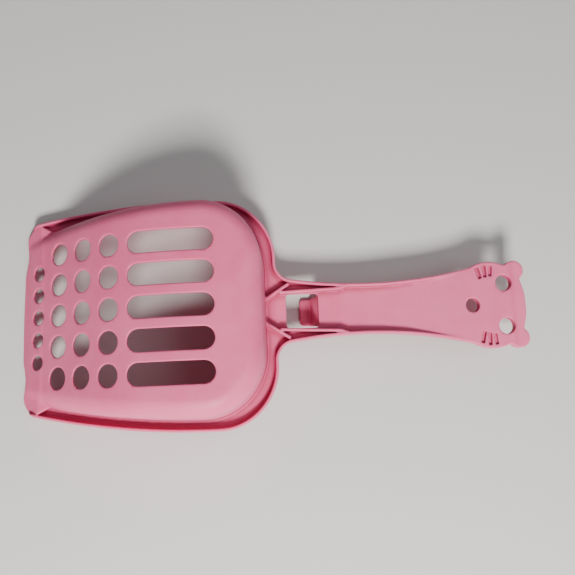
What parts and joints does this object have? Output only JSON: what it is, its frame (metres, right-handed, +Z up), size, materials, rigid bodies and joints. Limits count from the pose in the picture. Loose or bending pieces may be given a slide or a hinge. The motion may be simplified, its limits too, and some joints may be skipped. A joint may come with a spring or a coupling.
{
  "type": "cat litter scoop",
  "caption": "Sieve scoop for cat litter: deep pan with slots and round holes, waisted channel handle with a hanging clip and a cat-face end.",
  "frame": {"origin": "on the ground under the middle of the scoop's bounding box, with the scoop lying underside up on its front blade and its hanging clip", "axes": "+X from the pan's front blade to the cat face, +Y to the scoop's left as it lies, +Z up, the way the pan's floor bulges"},
  "size_m": [0.2773, 0.1258, 0.0516],
  "materials": {
    "pink_plastic": "satin as-moulded polypropylene"
  },
  "bodies": {
    "root": {"back_flange": "pink_plastic", "back_wall": "pink_plastic", "cat_face": "pink_plastic", "clip_riser": "pink_plastic", "clip_tongue": "pink_plastic", "front_blade": "pink_plastic", "handle_land": "pink_plastic", "handle_plate": "pink_plastic", "heel_floor": "pink_plastic", "left_ear": "pink_plastic", "left_flange": "pink_plastic", "left_flange_corner": "pink_plastic", "left_floor_edge": "pink_plastic", "left_front_corner": "pink_plastic", "left_gusset": "pink_plastic", "left_handle_lip": "pink_plastic", "left_lip": "pink_plastic", "left_lip_corner": "pink_plastic", "left_rail": "pink_plastic", "left_rib": "pink_plastic", "left_root_lip": "pink_plastic", "left_wall": "pink_plastic", "left_wall_corner": "pink_plastic", "right_ear": "pink_plastic", "right_flange": "pink_plastic", "right_flange_corner": "pink_plastic", "right_floor_edge": "pink_plastic", "right_front_corner": "pink_plastic", "right_gusset": "pink_plastic", "right_handle_lip": "pink_plastic", "right_lip": "pink_plastic", "right_lip_corner": "pink_plastic", "right_rail": "pink_plastic", "right_rib": "pink_plastic", "right_root_lip": "pink_plastic", "right_wall": "pink_plastic", "right_wall_corner": "pink_plastic", "sieve_strip_1": "pink_plastic", "sieve_strip_2": "pink_plastic", "sieve_strip_3": "pink_plastic", "sieve_strip_4": "pink_plastic", "sieve_strip_5": "pink_plastic", "slot_bar_1": "pink_plastic", "slot_bar_2": "pink_plastic", "slot_bar_3": "pink_plastic", "slot_bar_4": "pink_plastic"}
  },
  "joints": []
}
